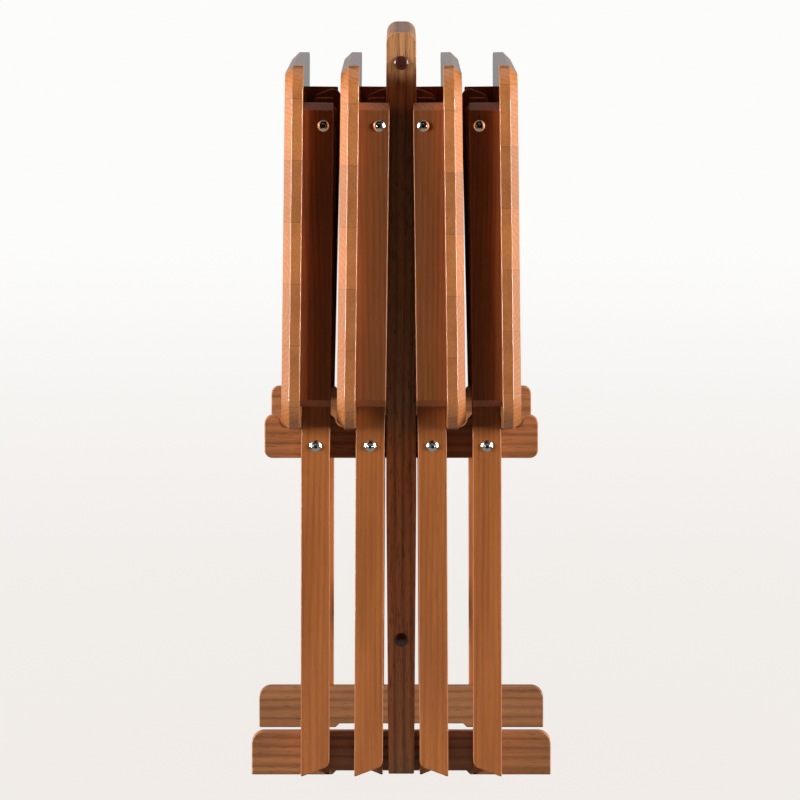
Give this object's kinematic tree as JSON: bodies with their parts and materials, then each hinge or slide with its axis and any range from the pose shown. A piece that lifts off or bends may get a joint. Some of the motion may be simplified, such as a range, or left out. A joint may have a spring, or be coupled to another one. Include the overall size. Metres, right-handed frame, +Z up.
{
  "type": "nested folding tray table set",
  "caption": "Nested set of folding wooden tray tables standing upright in the notched brackets of a slim storage stand with a handle rail.",
  "frame": {"origin": "on the floor under the middle of the stand", "axes": "+Z up, +X to the right across the row of tables, -Y towards the front end of the stand, the trays' long edges run along Y"},
  "size_m": [0.3046, 0.483, 0.756],
  "materials": {
    "tray_wood": "stained and lacquered hardwood panel, satin gloss",
    "cleat_wood": "stained and lacquered hardwood batten",
    "leg_wood": "stained and lacquered hardwood strip",
    "stand_wood": "stained and lacquered open-pored hardwood",
    "dark_plug": "dark stained domed wooden plug, glossy",
    "nickel_bolt": "bright nickel-plated steel bolt",
    "steel_screw": "zinc-plated steel wood screw"
  },
  "bodies": {
    "stand": {"bracket_front": "stand_wood", "bracket_rear": "stand_wood", "foot_front": "stand_wood", "foot_rear": "stand_wood", "frame_screws": "steel_screw", "lower_rail": "stand_wood", "top_rail": "stand_wood", "upright_front": "stand_wood", "upright_rear": "stand_wood", "wood_plugs": "dark_plug"},
    "inner_left_table": {"inner_left_catch_blocks": "cleat_wood", "inner_left_cleat_front": "cleat_wood", "inner_left_cleat_rear": "cleat_wood", "inner_left_cross_bolts": "nickel_bolt", "inner_left_inner_leg_bar": "leg_wood", "inner_left_inner_leg_front": "leg_wood", "inner_left_inner_leg_rear": "leg_wood", "inner_left_outer_leg_front": "leg_wood", "inner_left_outer_leg_rail": "leg_wood", "inner_left_outer_leg_rear": "leg_wood", "inner_left_pivot_bolts": "nickel_bolt", "inner_left_tray_top": "tray_wood"},
    "inner_right_table": {"inner_right_catch_blocks": "cleat_wood", "inner_right_cleat_front": "cleat_wood", "inner_right_cleat_rear": "cleat_wood", "inner_right_cross_bolts": "nickel_bolt", "inner_right_inner_leg_bar": "leg_wood", "inner_right_inner_leg_front": "leg_wood", "inner_right_inner_leg_rear": "leg_wood", "inner_right_outer_leg_front": "leg_wood", "inner_right_outer_leg_rail": "leg_wood", "inner_right_outer_leg_rear": "leg_wood", "inner_right_pivot_bolts": "nickel_bolt", "inner_right_tray_top": "tray_wood"},
    "outer_left_tray": {"outer_left_catch_blocks": "cleat_wood", "outer_left_cleat_front": "cleat_wood", "outer_left_cleat_rear": "cleat_wood", "outer_left_pivot_bolts": "nickel_bolt", "outer_left_tray_top": "tray_wood"},
    "outer_left_legs": {"outer_left_cross_bolts": "nickel_bolt", "outer_left_inner_leg_bar": "leg_wood", "outer_left_inner_leg_front": "leg_wood", "outer_left_inner_leg_rear": "leg_wood", "outer_left_outer_leg_front": "leg_wood", "outer_left_outer_leg_rail": "leg_wood", "outer_left_outer_leg_rear": "leg_wood"},
    "outer_right_tray": {"outer_right_catch_blocks": "cleat_wood", "outer_right_cleat_front": "cleat_wood", "outer_right_cleat_rear": "cleat_wood", "outer_right_pivot_bolts": "nickel_bolt", "outer_right_tray_top": "tray_wood"},
    "outer_right_legs": {"outer_right_cross_bolts": "nickel_bolt", "outer_right_inner_leg_bar": "leg_wood", "outer_right_inner_leg_front": "leg_wood", "outer_right_inner_leg_rear": "leg_wood", "outer_right_outer_leg_front": "leg_wood", "outer_right_outer_leg_rail": "leg_wood", "outer_right_outer_leg_rear": "leg_wood"}
  },
  "joints": [
    {"name": "outer_left_lift_off", "type": "slide", "parent": "stand", "child": "outer_left_legs", "axis": [-0.2588, 0, 0.9659], "range_m": [0, 1.2]},
    {"name": "outer_left_tray_fold", "type": "hinge", "parent": "outer_left_legs", "child": "outer_left_tray", "pos_m": [-0.07827, 0, 0.66298], "axis": [0, 1, 0], "range_deg": [0, 68.8]},
    {"name": "inner_left_lift_off", "type": "slide", "parent": "stand", "child": "inner_left_table", "axis": [0.0026, 0, 1], "range_m": [0, 0.8]},
    {"name": "outer_right_lift_off", "type": "slide", "parent": "stand", "child": "outer_right_legs", "axis": [0.2588, 0, 0.9659], "range_m": [0, 1.2]},
    {"name": "outer_right_tray_fold", "type": "hinge", "parent": "outer_right_legs", "child": "outer_right_tray", "pos_m": [0.07827, 0, 0.66298], "axis": [0, -1, 0], "range_deg": [0, 68.8]},
    {"name": "inner_right_lift_off", "type": "slide", "parent": "stand", "child": "inner_right_table", "axis": [-0.0026, 0, 1], "range_m": [0, 0.8]}
  ],
  "couplings": [
    {"joint": "outer_left_tray_fold", "follows": "outer_left_lift_off", "rad_per_m": 1},
    {"joint": "outer_right_tray_fold", "follows": "outer_right_lift_off", "rad_per_m": 1}
  ]
}
